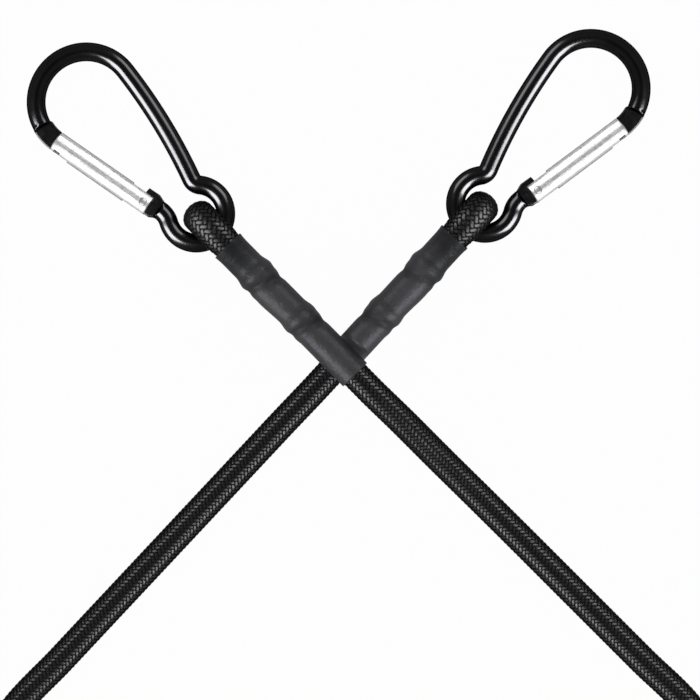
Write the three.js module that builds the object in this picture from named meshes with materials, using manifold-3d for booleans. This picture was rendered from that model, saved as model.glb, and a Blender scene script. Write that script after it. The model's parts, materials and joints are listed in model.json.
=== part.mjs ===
// A bungee cord: one braided elastic cord with a snap hook looped into each end.
// Sizes are millimetres and +Z is up. The cord lies on Z = 0, its two ends crossed, with the cord
// running away towards -Y and round again in one wide bend.
//
// Each end is built in its own frame. Its origin is the middle of the hook's rod where the cord's
// loop goes round it. +X points along the hook to its far end, +Y to the gate's side, and +Z to the
// side of the leg that runs on as the cord. The right end is the same assembly turned over about X.
import * as THREE from "three";
import { mergeVertices } from "three/addons/utils/BufferGeometryUtils.js";
import Module from "manifold-3d";

const wasm = await Module();
wasm.setup();

// Gaps and cutting
const seatGap = 0.3; // between pieces that touch on the real object
const slideGap = 0.25; // on each side of a pin, blade or plunger in its hole
const overrun = 1; // how far a cutting tool runs past what it cuts
const rootOverlap = 1; // how far a pressed flat starts inside its rod

// Elastic cord
const cordDiameter = 9;
const sheathWall = 0.9;
const coreGap = 0.3; // between the braided sheath and the rubber core

// Loop of cord round the hook's eye
const loopReach = 8.3; // rod centre to cord centre at the tip of the loop
const loopHalfHeight = 7.7; // rod centre to cord centre above and below the rod
const loopWidth = 10.4; // the cord flattens where it bends
const loopThickness = 8.2;
const legWidth = 9; // each leg, squeezed by its sleeve
const legThickness = 8.7;
const legGap = 0.3;
const flareLength = 17; // over which the two legs draw together
const spreadLength = 8; // over which each leg spreads to the width of the bend

// Crimps on the two legs
const firstCrimp = 18.8; // from the rod centre
const secondCrimp = 38.3;
const crimpFlat = 2.2; // half the length that is fully drawn in
const crimpReach = 5; // half the length that is drawn in at all
const crimpWidth = 6.1; // a leg inside a crimp
const crimpThickness = 7.5;
const tailPast = 8; // how far the short leg runs on past its second crimp
const flareShares = [0.33, 0.66, 1]; // of the way from the first crimp to the sleeve's mouth

// Steel rings that crimp the legs
const ringWire = 1.5;
const ringFit = 0.25; // round the legs
const ringOverlapShare = 0.12; // of a turn, past the closing point, at each end
const ringEndGap = 0.45; // between the two ends, which pass side by side

// Heat-shrunk sleeve
const sleeveMouth = 4.8; // rod centre to the sleeve's near end
const sleeveLength = 57;
const sleeveWall = 0.45;
const sleeveFit = 0.33;
const tailDrape = 4.6; // over which the sleeve falls from the cut tail to the single cord
const drapeShares = [1, 0.75, 0.5, 0.25, 0];
const sleeveLip = 1.5; // a station just inside the far end
const wrapSharpness = 3; // how soon a wrap round two legs turns from one leg to the other

// Hook: a pear-shaped frame of round rod with a small eye at one end
const rodDiameter = 6;
const eyeRadius = 9.2; // to the rod's centre, as are the other radii
const nestRadius = 15.75; // the wide end, where a rail or a ring sits
const centreDistance = 50.3; // eye centre to the centre of the wide end
const spineRadius = 180;
const spineStart = THREE.MathUtils.degToRad(6.5);
const neckRadius = 3.3;
const hingeBendRadius = 7;
const noseShoulder = THREE.MathUtils.degToRad(78); // where the round rod ends at the nose
const flatThickness = 2.8; // of the rod's two pressed ends

// Gate
const gateDiameter = 7;
const gateInset = 6.55; // eye centre to the gate's axis
const pinPlace = 15.8; // along the gate's axis from beside the eye centre
const gateTail = 2.2; // from the pin to the hinge end
const noseCover = 0.5; // how far the gate reaches past its tangent point on the wide end
const gateChamfer = 0.4;
const pinDiameter = 2;
const boreDiameter = 4.2;
const boreDepth = 22; // from the pin
const hingeSlotDepth = 6.2; // from the pin
const noseSlotDepth = 6.7; // from the gate's nose end
const noseSlotWall = 2.3; // gate axis to the slot's inner wall

// Hinge tongue and nose blade, the pressed ends of the rod
const tongueInset = 0.9; // gate axis to the rod's centre at the hinge
const tongueReach = 2.9; // from the pin to the tongue's end
const tongueWidth = 7.85;
const bladeReach = 4.5; // into the gate
const bladeOuter = 3.05; // gate axis to the blade's outer edge
const noseInner = 3.5; // gate axis to the inner edge of the flat outside the gate
const bladeInnerGap = 0.4; // blade to the slot's inner wall
const nosePinDiameter = 1.6;
const nosePinLength = 4.6;
const nosePinPlace = 2.5; // from the gate's nose end
const nosePinOffset = 0.4; // gate axis to the nose pin, outwards
const nosePinClearance = 0.35;

// Gate spring and its plunger
const plungerHead = 3.6;
const plungerHeadLength = 4;
const plungerStem = 1.5;
const plungerStemLength = 4.5;
const plungerChamfer = 0.3;
const springWire = 0.5;
const springDiameter = 3.6; // over the wire
const springTurns = 7;

// Layout on the table, seen from above: where each rod centre lies and where its hook points
const leftPlace = [-38.65, 36.26];
const leftBearing = THREE.MathUtils.degToRad(134.6);
const rightPlace = [39.28, 39.09];
const rightBearing = THREE.MathUtils.degToRad(47.4);
const crossingGap = 0.3; // between the two sleeves where the left one lies over the right one

const leadLength = 8; // the cord runs straight this far out of each sleeve

// The cord's route between the two sleeves, from the left end's to the right end's
const route = [
  [19.2, -22.0, 13.2],
  [31.8, -34.6, 8.0],
  [44.6, -47.2, 5.2],
  [57.3, -59.8, 4.45],
  [69.9, -72.4, 4.45],
  [82.5, -85.0, 4.45],
  [95.1, -97.6, 4.45],
  [110.5, -113.0, 4.45],
  [120.8, -130.9, 4.45],
  [120.8, -151.7, 4.45],
  [110.5, -169.6, 4.45],
  [92.6, -179.9, 4.45],
  [68.0, -181.8, 4.45],
  [36.0, -182.2, 4.45],
  [4.0, -182.4, 4.45],
  [-28.0, -182.2, 4.45],
  [-58.0, -181.7, 4.45],
  [-84.4, -179.8, 4.45],
  [-102.3, -169.5, 4.45],
  [-112.6, -151.6, 4.45],
  [-112.6, -130.8, 4.45],
  [-103.2, -113.8, 4.45],
  [-88.0, -97.6, 4.45],
  [-76.2, -85.0, 4.45],
  [-64.4, -72.4, 4.45],
  [-52.6, -59.8, 4.45],
  [-40.8, -47.2, 4.45],
  [-29.0, -34.6, 4.45],
  [-17.2, -22.0, 4.5],
];

// Facet counts
const rodSides = 12;
const rodSteps = 64;
const cordSides = 10;
const coreSides = 8;
const cordSteps = 46;
const bendStations = 10;
const sleeveSides = 16;
const ringSides = 6;
const ringSteps = 26;
const springSides = 5;
const springStepsPerTurn = 8;
const gateSides = 20;
const smallSides = 12;
const flatArcSteps = 8;

// Sizes that follow from those above
const rodRadius = rodDiameter / 2;
const cordRadius = cordDiameter / 2;
const gateRadius = gateDiameter / 2;
const legHeightInside = legThickness / 2 + legGap / 2;
const crimpLegHeight = crimpThickness / 2 + legGap / 2;
const sleeveReach = sleeveMouth + sleeveLength;
const tailLength = secondCrimp + tailPast; // rod centre to the cut end of the short leg
const sleeveCover = sleeveFit + sleeveWall; // leg to the sleeve's outside
const sleeveOuterRadius = legThickness / 2 + sleeveCover;
const hingeSlotHalf = flatThickness / 2 + slideGap;
const eyeCentre = new THREE.Vector2(eyeRadius, 0);
const nestCentre = new THREE.Vector2(eyeRadius + centreDistance, 0);
const gateAngle = Math.asin((nestRadius - gateInset) / centreDistance);
const gateReach = centreDistance * Math.cos(gateAngle) + noseCover - pinPlace;

const material = (color, roughness, metalness) =>
  new THREE.MeshStandardMaterial({ color, roughness, metalness });
const braid = material(0x1b1b1d, 0.85, 0);
const latex = material(0xcdbb96, 0.7, 0);
const shrinkTube = material(0x3e3e42, 0.5, 0);
const blackAnodised = material(0x0b0b0c, 0.18, 0.6);
const polished = material(0xd9dadc, 0.15, 1);
const steel = material(0x9a9da1, 0.35, 1);

// A share that eases from 0 to 1 as value does, and stays there.
const ease = (value) => THREE.MathUtils.smoothstep(value, 0, 1);

// Solids and cuts
function solidOf(geometry) {
  const bare = geometry.index ? geometry.toNonIndexed() : geometry.clone();
  bare.deleteAttribute("normal");
  bare.deleteAttribute("uv");
  const merged = mergeVertices(bare, 1e-4);
  const mesh = new wasm.Mesh({
    numProp: 3,
    vertProperties: merged.attributes.position.array,
    triVerts: new Uint32Array(merged.index.array),
  });
  return new wasm.Manifold(mesh);
}

function geometryOf(solid) {
  const mesh = solid.getMesh();
  const geometry = new THREE.BufferGeometry();
  geometry.setAttribute("position", new THREE.BufferAttribute(mesh.vertProperties, 3));
  geometry.setIndex(new THREE.BufferAttribute(mesh.triVerts, 1));
  return geometry;
}

function joined(...geometries) {
  return geometries.map(solidOf).reduce((whole, next) => whole.add(next));
}

function cut(solid, ...geometries) {
  return geometries.map(solidOf).reduce((rest, tool) => rest.subtract(tool), solid);
}

// A block between two opposite corners.
function block(low, high) {
  const size = high.map((value, axis) => value - low[axis]);
  const middle = high.map((value, axis) => (value + low[axis]) / 2);
  return new THREE.BoxGeometry(...size).translate(...middle);
}

// A round bar along X from one place to another, with its two rims chamfered.
function barAlongX(radius, from, to, chamfer, sides) {
  const profile = [
    [0, from],
    [radius - chamfer, from],
    [radius, from + chamfer],
    [radius, to - chamfer],
    [radius - chamfer, to],
    [0, to],
  ];
  const points = profile.map(([r, along]) => new THREE.Vector2(r, along));
  return new THREE.LatheGeometry(points, sides).rotateZ(-Math.PI / 2);
}

// A round bar along Z, centred on the plane of the hook.
function barAlongZ(radius, length, x, y) {
  const bar = new THREE.CylinderGeometry(radius, radius, length, smallSides);
  return bar.rotateX(Math.PI / 2).translate(x, y, 0);
}

function polygonShape(radius, sides) {
  const shape = new THREE.Shape();
  for (let corner = 0; corner < sides; corner += 1) {
    const angle = ((corner + 0.5) / sides) * 2 * Math.PI;
    const point = [radius * Math.cos(angle), radius * Math.sin(angle)];
    if (corner === 0) shape.moveTo(...point);
    else shape.lineTo(...point);
  }
  shape.closePath();
  return shape;
}

function tube(path, radius, sides, steps, boreRadius = 0, boreSides = sides) {
  const shape = polygonShape(radius, sides);
  if (boreRadius > 0) shape.holes.push(polygonShape(boreRadius, boreSides));
  return new THREE.ExtrudeGeometry(shape, { steps, extrudePath: path });
}

// A skin over rings of points that run anticlockwise about the way ahead: capped at both ends, or
// joined up again into a hollow tube.
function skinned(rings, hollow) {
  const sides = rings[0].length;
  const positions = rings.flat().flatMap((point) => point.toArray());
  const index = [];
  const spans = hollow ? rings.length : rings.length - 1;
  for (let ring = 0; ring < spans; ring += 1) {
    const here = ring * sides;
    const next = ((ring + 1) % rings.length) * sides;
    for (let side = 0; side < sides; side += 1) {
      const after = (side + 1) % sides;
      index.push(here + side, next + after, next + side);
      index.push(here + side, here + after, next + after);
    }
  }
  if (!hollow) {
    const last = (rings.length - 1) * sides;
    for (let side = 1; side < sides - 1; side += 1) {
      index.push(0, side + 1, side);
      index.push(last, last + side, last + side + 1);
    }
  }
  const geometry = new THREE.BufferGeometry();
  geometry.setAttribute("position", new THREE.Float32BufferAttribute(positions, 3));
  geometry.setIndex(index);
  return geometry;
}

// Hook frame
// Where circles round two centres meet, on the side of the first centre's clockwise turn.
function circlesMeet(first, firstRadius, second, secondRadius) {
  const between = second.clone().sub(first);
  const distance = between.length();
  const along =
    (distance ** 2 + firstRadius ** 2 - secondRadius ** 2) / (2 * distance);
  const aside = Math.sqrt(firstRadius ** 2 - along ** 2);
  const direction = between.normalize();
  return first
    .clone()
    .addScaledVector(direction, along)
    .add(new THREE.Vector2(direction.y, -direction.x).multiplyScalar(aside));
}

const bearingFrom = (centre, point) =>
  Math.atan2(point.y - centre.y, point.x - centre.x);

// An arc that turns by less than a full turn, clockwise or anticlockwise.
function arc(centre, radius, from, to, clockwise) {
  const turn = THREE.MathUtils.euclideanModulo(
    clockwise ? from - to : to - from,
    2 * Math.PI,
  );
  return { centre, radius, from, turn: clockwise ? -turn : turn, length: radius * turn };
}

// The centre line of the round rod, from the nose round the wide end, along the spine, in at the
// neck, round the eye and out to the hinge.
function rodArcs() {
  const spineTop = -Math.PI / 2 - spineStart;
  const spineCentre = new THREE.Vector2(Math.sin(spineStart), Math.cos(spineStart))
    .multiplyScalar(spineRadius - nestRadius)
    .add(nestCentre);
  const neckCentre = circlesMeet(
    eyeCentre,
    eyeRadius + neckRadius,
    spineCentre,
    spineRadius + neckRadius,
  );
  const outward = new THREE.Vector2(-Math.sin(gateAngle), Math.cos(gateAngle));
  const forward = new THREE.Vector2(Math.cos(gateAngle), Math.sin(gateAngle));
  const bendRise = gateInset - tongueInset + hingeBendRadius;
  const bendAlong = Math.sqrt((eyeRadius + hingeBendRadius) ** 2 - bendRise ** 2);
  const bendCentre = eyeCentre
    .clone()
    .addScaledVector(outward, bendRise)
    .addScaledVector(forward, bendAlong);
  return [
    arc(nestCentre, nestRadius, noseShoulder, spineTop, true),
    arc(
      spineCentre,
      spineRadius,
      spineTop,
      bearingFrom(spineCentre, neckCentre),
      true,
    ),
    arc(
      neckCentre,
      neckRadius,
      bearingFrom(neckCentre, spineCentre),
      bearingFrom(neckCentre, eyeCentre),
      false,
    ),
    arc(
      eyeCentre,
      eyeRadius,
      bearingFrom(eyeCentre, neckCentre),
      bearingFrom(eyeCentre, bendCentre),
      true,
    ),
    arc(
      bendCentre,
      hingeBendRadius,
      bearingFrom(bendCentre, eyeCentre),
      gateAngle - Math.PI / 2,
      false,
    ),
  ];
}

class RodPath extends THREE.Curve {
  constructor() {
    super();
    this.arcs = rodArcs();
    this.total = this.arcs.reduce((sum, piece) => sum + piece.length, 0);
  }

  getPoint(t, target = new THREE.Vector3()) {
    let left = t * this.total;
    let piece = this.arcs[0];
    for (piece of this.arcs) {
      if (left <= piece.length) break;
      left -= piece.length;
    }
    const share = Math.min(left / piece.length, 1);
    const angle = piece.from + share * piece.turn;
    return target.set(
      piece.centre.x + piece.radius * Math.cos(angle),
      piece.centre.y + piece.radius * Math.sin(angle),
      0,
    );
  }
}

// The gate's own frame: origin on its pin, +X along it to the nose, +Y outwards.
const gateOrigin = new THREE.Vector3(
  eyeCentre.x - gateInset * Math.sin(gateAngle) + pinPlace * Math.cos(gateAngle),
  gateInset * Math.cos(gateAngle) + pinPlace * Math.sin(gateAngle),
  0,
);

function fromGateFrame(geometry) {
  return geometry.rotateZ(gateAngle).translate(...gateOrigin.toArray());
}

// A plate of the pressed rod's thickness, centred on the plane of the hook.
function pressedPlate(shape) {
  const plate = new THREE.ExtrudeGeometry(shape, {
    depth: flatThickness,
    bevelEnabled: false,
    curveSegments: flatArcSteps,
  });
  return plate.translate(0, 0, -flatThickness / 2);
}

// The tongue's outline in the gate's frame, in shares of its reach and of its width. Its inner side
// ends in a lug that stands out past the gate.
const tongueOutlineShares = [
  [-1.93, 0.25],
  [-1.28, 0.375],
  [0.62, 0.375],
  [1, 0.28],
  [1, -0.28],
  [0.55, -0.39],
  [0.28, -0.4],
  [0.43, -0.61],
  [-0.98, -0.62],
  [-1.76, -0.5],
];

function tonguePlate() {
  const shape = new THREE.Shape();
  const root = -(pinPlace - hingeRodEnd()) - rootOverlap;
  shape.moveTo(root, -tongueInset - rodRadius);
  shape.lineTo(root, -tongueInset + rodRadius);
  for (const [reachShare, widthShare] of tongueOutlineShares) {
    shape.lineTo(reachShare * tongueReach, widthShare * tongueWidth);
  }
  shape.closePath();
  return fromGateFrame(pressedPlate(shape));
}

// Where the round rod ends at the hinge, along the gate's axis from beside the eye centre.
function hingeRodEnd() {
  const rise = gateInset - tongueInset + hingeBendRadius;
  return Math.sqrt((eyeRadius + hingeBendRadius) ** 2 - rise ** 2);
}

// The nose: a band that follows the wide end's arc and runs straight on into the gate.
function nosePlate() {
  const shape = new THREE.Shape();
  const start = noseShoulder - rootOverlap / nestRadius;
  const tangent = Math.PI / 2;
  const centreX = gateReach - noseCover;
  const startAngle = start - gateAngle;
  const shoulderX = gateReach + seatGap;
  const innerArc = nestRadius - noseInner;
  const innerEnd = tangent - Math.asin((shoulderX - centreX) / innerArc);
  const tipX = gateReach - bladeReach;
  const bladeInner = -noseSlotWall + bladeInnerGap;
  shape.absarc(centreX, -nestRadius, nestRadius + bladeOuter, startAngle, tangent, false);
  shape.lineTo(tipX, bladeOuter);
  shape.lineTo(tipX, bladeInner);
  shape.lineTo(shoulderX, bladeInner);
  shape.absarc(centreX, -nestRadius, innerArc, innerEnd, startAngle, true);
  shape.closePath();
  return fromGateFrame(pressedPlate(shape));
}

const holeDepth = gateDiameter + 2 * overrun;

function hookFrame() {
  const rod = tube(new RodPath(), rodRadius, rodSides, rodSteps);
  const whole = joined(rod, tonguePlate(), nosePlate());
  const pinHole = barAlongZ(pinDiameter / 2 + slideGap, holeDepth, 0, 0);
  const noseHole = barAlongZ(
    nosePinDiameter / 2 + slideGap,
    holeDepth,
    gateReach - nosePinPlace,
    nosePinOffset,
  );
  return geometryOf(cut(whole, fromGateFrame(pinHole), fromGateFrame(noseHole)));
}

// Gate, in its own frame
function gate() {
  const bar = barAlongX(gateRadius, -gateTail, gateReach, gateChamfer, gateSides);
  const bore = barAlongX(
    boreDiameter / 2,
    -gateTail - overrun,
    boreDepth,
    gateChamfer,
    smallSides,
  );
  const past = gateRadius + overrun;
  const hingeSlot = block(
    [-gateTail - overrun, -past, -hingeSlotHalf],
    [hingeSlotDepth, past, hingeSlotHalf],
  );
  const noseSlot = block(
    [gateReach - noseSlotDepth, -noseSlotWall, -hingeSlotHalf],
    [gateReach + overrun, past, hingeSlotHalf],
  );
  const pinX = gateReach - nosePinPlace;
  const pinRoom = nosePinDiameter / 2 + nosePinClearance;
  const pinHalf = nosePinLength / 2 + slideGap;
  const pinSlot = block(
    [pinX - pinRoom, -noseSlotWall, -pinHalf],
    [pinX + pinRoom, past, pinHalf],
  );
  const pinHole = barAlongZ(pinDiameter / 2 + slideGap, holeDepth, 0, 0);
  return geometryOf(cut(solidOf(bar), bore, hingeSlot, noseSlot, pinSlot, pinHole));
}

function rivet() {
  return barAlongZ(pinDiameter / 2, gateDiameter, 0, 0);
}

function nosePin() {
  const x = gateReach - nosePinPlace;
  return barAlongZ(nosePinDiameter / 2, nosePinLength, x, nosePinOffset);
}

// Plunger, in the gate's frame: its head rests on the tongue's end and its stem guides the spring.
const plungerTip = tongueReach + seatGap;
const plungerShoulder = plungerTip + plungerHeadLength;
const plungerEnd = plungerShoulder + plungerStemLength;

function plunger() {
  const headRadius = plungerHead / 2;
  const stemRadius = plungerStem / 2;
  const profile = [
    [0, plungerTip],
    [stemRadius, plungerTip],
    [headRadius, plungerTip + headRadius - stemRadius],
    [headRadius, plungerShoulder],
    [stemRadius, plungerShoulder],
    [stemRadius, plungerEnd - plungerChamfer],
    [stemRadius - plungerChamfer, plungerEnd],
    [0, plungerEnd],
  ];
  const points = profile.map(([r, along]) => new THREE.Vector2(r, along));
  return new THREE.LatheGeometry(points, smallSides).rotateZ(-Math.PI / 2);
}

class SpringPath extends THREE.Curve {
  constructor(from, to, radius, turns) {
    super();
    Object.assign(this, { from, to, radius, turns });
  }

  getPoint(t, target = new THREE.Vector3()) {
    const angle = 2 * Math.PI * this.turns * t;
    return target.set(
      THREE.MathUtils.lerp(this.from, this.to, t),
      this.radius * Math.cos(angle),
      this.radius * Math.sin(angle),
    );
  }
}

// The least distance between turns of a wire, measured on points of its path that are at least half
// a turn apart.
function leastGap(path, wire, turns) {
  const points = path.getSpacedPoints(turns * springStepsPerTurn);
  const apart = springStepsPerTurn / 2;
  let least = Infinity;
  for (let first = 0; first < points.length; first += 1) {
    for (let second = first + apart; second < points.length; second += 1) {
      least = Math.min(least, points[first].distanceTo(points[second]) - wire);
    }
  }
  return least;
}

function gateSpring() {
  const from = plungerShoulder + seatGap + springWire / 2;
  const to = boreDepth - seatGap - springWire / 2;
  const path = new SpringPath(from, to, (springDiameter - springWire) / 2, springTurns);
  const gap = leastGap(path, springWire, springTurns);
  console.log(`Gate spring: ${gap.toFixed(2)} mm between turns`);
  return tube(path, springWire / 2, springSides, springTurns * springStepsPerTurn);
}

// Cord inside an end
// How far the crimps draw things in at a place along X: 1 in a crimp, 0 away from both.
function crimpShare(x) {
  const shares = [firstCrimp, secondCrimp].map((place) => {
    const away = (Math.abs(x + place) - crimpFlat) / (crimpReach - crimpFlat);
    return 1 - ease(away);
  });
  return Math.max(...shares);
}

const flareShare = (x, length) => ease((x + length) / length);

// Size of a leg at a place along X: a mix of its plain, crimped and bent sizes.
function legMix(x, plain, crimped, bent, length = flareLength) {
  const crimp = crimpShare(x);
  const flare = flareShare(x, length);
  return plain + (crimped - plain) * crimp + (bent - plain) * flare;
}

const legHeight = (x) => legMix(x, legHeightInside, crimpLegHeight, loopHalfHeight);
const legHalfWidth = (x) =>
  legMix(x, legWidth / 2, crimpWidth / 2, loopWidth / 2, spreadLength);
const legHalfThickness = (x) =>
  legMix(x, legThickness / 2, crimpThickness / 2, loopThickness / 2);

// Places along X at which the legs and the sleeve are given a section, from the sleeve's end to its
// mouth.
function legPlaces() {
  const crimpMiddle = (crimpFlat + crimpReach) / 2;
  const offsets = [-crimpReach, -crimpMiddle, -crimpFlat, crimpFlat, crimpMiddle, crimpReach];
  const crimps = [-secondCrimp, -firstCrimp].flatMap((place) =>
    offsets.map((offset) => place + offset),
  );
  const lastCrimp = -firstCrimp + crimpReach;
  const flare = flareShares.map((share) =>
    THREE.MathUtils.lerp(lastCrimp, -sleeveMouth, share),
  );
  return [...crimps, ...flare];
}

// Stations along the cord from the sleeve's end, round the eye's rod, to the cut tail.
function cordStations() {
  const leg = (x, side) => ({
    x,
    z: side * legHeight(x),
    halfWidth: legHalfWidth(x),
    halfThickness: legHalfThickness(x),
  });
  const places = legPlaces();
  const bend = [];
  for (let step = 0; step <= bendStations; step += 1) {
    const angle = (0.5 - step / bendStations) * Math.PI;
    bend.push({
      x: loopReach * Math.cos(angle),
      z: loopHalfHeight * Math.sin(angle),
      halfWidth: loopWidth / 2,
      halfThickness: loopThickness / 2,
    });
  }
  const tail = places.filter((x) => x > -tailLength).reverse();
  return [
    ...[-sleeveReach, ...places].map((x) => leg(x, 1)),
    ...bend,
    ...[...tail, -tailLength].map((x) => leg(x, -1)),
  ];
}

// Rings square to the cord at its stations, a given distance inside its surface.
function cordRings(inset, sides) {
  const stations = cordStations();
  return stations.map((station, place) => {
    const before = stations[Math.max(place - 1, 0)];
    const after = stations[Math.min(place + 1, stations.length - 1)];
    const run = new THREE.Vector2(after.x - before.x, after.z - before.z).normalize();
    const ring = [];
    for (let corner = 0; corner < sides; corner += 1) {
      const angle = (corner / sides) * 2 * Math.PI;
      const across = (station.halfWidth - inset) * Math.cos(angle);
      const out = (station.halfThickness - inset) * Math.sin(angle);
      ring.push(
        new THREE.Vector3(station.x - run.y * out, across, station.z + run.x * out),
      );
    }
    return ring;
  });
}

function loopSheath() {
  const outside = cordRings(0, cordSides);
  const inside = cordRings(sheathWall, cordSides).reverse();
  return skinned([...outside, ...inside], true);
}

function loopCore() {
  return skinned(cordRings(sheathWall + coreGap, cordSides), false);
}

// A point of a skin drawn round two legs, square to X and a clearance outside them. The angle is the
// direction in which the skin faces there, from +Y towards +Z.
function wrapPoint(angle, x, legs, clearance) {
  const across = Math.cos(angle);
  const rise = Math.sin(angle);
  const reach = Math.hypot(legs.halfWidth * across, legs.halfThickness * rise);
  const share = THREE.MathUtils.clamp(0.5 + wrapSharpness * rise, 0, 1);
  const centre = THREE.MathUtils.lerp(legs.bottom, legs.top, share);
  return new THREE.Vector3(
    x,
    (legs.halfWidth ** 2 / reach + clearance) * across,
    centre + (legs.halfThickness ** 2 / reach + clearance) * rise,
  );
}

// A steel ring round both legs. Its ends pass side by side on one face.
class CrimpRingPath extends THREE.Curve {
  constructor(place, face) {
    super();
    Object.assign(this, { place, face });
  }

  getPoint(t, target = new THREE.Vector3()) {
    const turn = THREE.MathUtils.lerp(-ringOverlapShare, 1 + ringOverlapShare, t);
    const angle = this.face * (0.5 + 2 * turn) * Math.PI;
    const x = -this.place + (turn - 0.5) * (ringWire + ringEndGap);
    const legs = {
      top: crimpLegHeight,
      bottom: -crimpLegHeight,
      halfWidth: crimpWidth / 2,
      halfThickness: crimpThickness / 2,
    };
    return target.copy(wrapPoint(angle, x, legs, ringFit + ringWire / 2));
  }
}

function crimpRing(place, face) {
  return tube(new CrimpRingPath(place, face), ringWire / 2, ringSides, ringSteps);
}

// Sleeve: round both legs, then closing down to the single cord past the cut tail.
function sleeveRing(x, inset) {
  const tail = 1 - ease((-x - tailLength - seatGap) / tailDrape);
  const height = legHeight(x);
  const legs = {
    top: height,
    bottom: THREE.MathUtils.lerp(height, -height, tail),
    halfWidth: legHalfWidth(x),
    halfThickness: legHalfThickness(x),
  };
  const overRing = crimpShare(x) * (ringFit + ringWire);
  const ring = [];
  for (let corner = 0; corner < sleeveSides; corner += 1) {
    const angle = ((corner + 0.5) / sleeveSides) * 2 * Math.PI;
    ring.push(wrapPoint(angle, x, legs, overRing + sleeveCover - inset));
  }
  return ring;
}

function sleeve() {
  const drapePlaces = drapeShares.map(
    (share) => -tailLength - seatGap - share * tailDrape,
  );
  const places = [
    -sleeveReach,
    -sleeveReach + sleeveLip,
    ...drapePlaces,
    ...legPlaces().filter((x) => x > -tailLength),
  ];
  const outside = places.map((x) => sleeveRing(x, 0));
  const inside = places.map((x) => sleeveRing(x, sleeveWall)).reverse();
  return skinned([...outside, ...inside], true);
}

// Assembly
const rodHeight =
  legHeight(-sleeveMouth) + legHalfThickness(-sleeveMouth) + sleeveCover; // mouth on the table
const bungee = new THREE.Group();

function addMesh(group, name, geometry, finish) {
  const mesh = new THREE.Mesh(geometry, finish);
  mesh.name = name;
  group.add(mesh);
  return mesh;
}

function turned(group, bearing, pitch, turnedOver) {
  group.rotation.order = "ZYX";
  group.rotation.set(turnedOver ? Math.PI : 0, pitch, bearing);
}

// One end: the loop of cord with its crimps and sleeve, and the hook that hangs in it.
function makeEnd({ side, place, bearing, drop, turnedOver }) {
  const end = new THREE.Group();
  end.position.set(...place, rodHeight);
  turned(end, bearing, -drop, turnedOver);
  const face = turnedOver ? -1 : 1;
  addMesh(end, `${side}_loop_sheath`, loopSheath(), braid);
  addMesh(end, `${side}_loop_core`, loopCore(), latex);
  addMesh(end, `${side}_crimp_ring_near_hook`, crimpRing(firstCrimp, face), steel);
  addMesh(end, `${side}_crimp_ring_near_cord`, crimpRing(secondCrimp, face), steel);
  addMesh(end, `${side}_heat_shrink_sleeve`, sleeve(), shrinkTube);

  const hook = new THREE.Group();
  hook.position.set(...place, rodHeight);
  const hookDrop = Math.asin((rodHeight - rodRadius) / (nestCentre.x + nestRadius));
  turned(hook, bearing, hookDrop, turnedOver);
  addMesh(hook, `${side}_hook_frame`, hookFrame(), blackAnodised);

  const gateGroup = new THREE.Group();
  gateGroup.position.copy(gateOrigin);
  gateGroup.rotation.z = gateAngle;
  addMesh(gateGroup, `${side}_nose_pin`, nosePin(), steel);
  addMesh(gateGroup, `${side}_gate`, gate(), polished);
  addMesh(gateGroup, `${side}_gate_rivet`, rivet(), steel);
  addMesh(gateGroup, `${side}_gate_plunger`, plunger(), steel);
  addMesh(gateGroup, `${side}_gate_spring`, gateSpring(), steel);
  hook.add(gateGroup);
  bungee.add(end, hook);
  end.updateMatrix();
  return end;
}

// How far each rod centre is from the point where the two ends cross, seen from above.
function crossingDistances() {
  const left = new THREE.Vector2(Math.cos(leftBearing), Math.sin(leftBearing));
  const right = new THREE.Vector2(Math.cos(rightBearing), Math.sin(rightBearing));
  const apart = new THREE.Vector2(...rightPlace).sub(new THREE.Vector2(...leftPlace));
  const spread = left.cross(right);
  return {
    left: apart.cross(right) / -spread,
    right: apart.cross(left) / -spread,
  };
}

// Each sleeve's mouth rests on the table. The right end's long leg comes down to the table at its
// sleeve's end, and the left end's sleeve lies over the right one where they cross.
const crossing = crossingDistances();
const rightDrop = Math.asin(
  (rodHeight - legHeightInside - sleeveOuterRadius) / sleeveReach,
);
const rightAxisHeight =
  rodHeight - legHeightInside - crossing.right * Math.sin(rightDrop);
const leftAxisHeight = rightAxisHeight + 2 * sleeveOuterRadius + crossingGap;
const leftDrop = Math.asin(
  (rodHeight + legHeightInside - leftAxisHeight) / crossing.left,
);

const leftEnd = makeEnd({
  side: "left",
  place: leftPlace,
  bearing: leftBearing,
  drop: leftDrop,
  turnedOver: false,
});
const rightEnd = makeEnd({
  side: "right",
  place: rightPlace,
  bearing: rightBearing,
  drop: rightDrop,
  turnedOver: true,
});

// The free cord, from sleeve to sleeve
// A point on the long leg's line, a given distance past its sleeve.
function pastSleeve(end, distance) {
  const point = new THREE.Vector3(-sleeveReach - distance, 0, legHeightInside);
  return point.applyMatrix4(end.matrix);
}

const cordPath = new THREE.CatmullRomCurve3(
  [
    pastSleeve(leftEnd, seatGap),
    pastSleeve(leftEnd, leadLength),
    ...route.map((point) => new THREE.Vector3(...point)),
    pastSleeve(rightEnd, leadLength),
    pastSleeve(rightEnd, seatGap),
  ],
  false,
  "centripetal",
);
const boreRadius = cordRadius - sheathWall;
const freeSheath = tube(cordPath, cordRadius, cordSides, cordSteps, boreRadius, coreSides);
const freeCore = tube(cordPath, boreRadius - coreGap, coreSides, cordSteps);

// The origin is on the table, under the middle of the two ends.
const ends = new THREE.Box3().setFromObject(bungee, true);
const middle = ends.getCenter(new THREE.Vector3());
bungee.position.set(-middle.x, -middle.y, -ends.min.z);

addMesh(bungee, "cord_sheath", freeSheath, braid);
addMesh(bungee, "cord_core", freeCore, latex);

export default bungee;
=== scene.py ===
import json
import math

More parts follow.
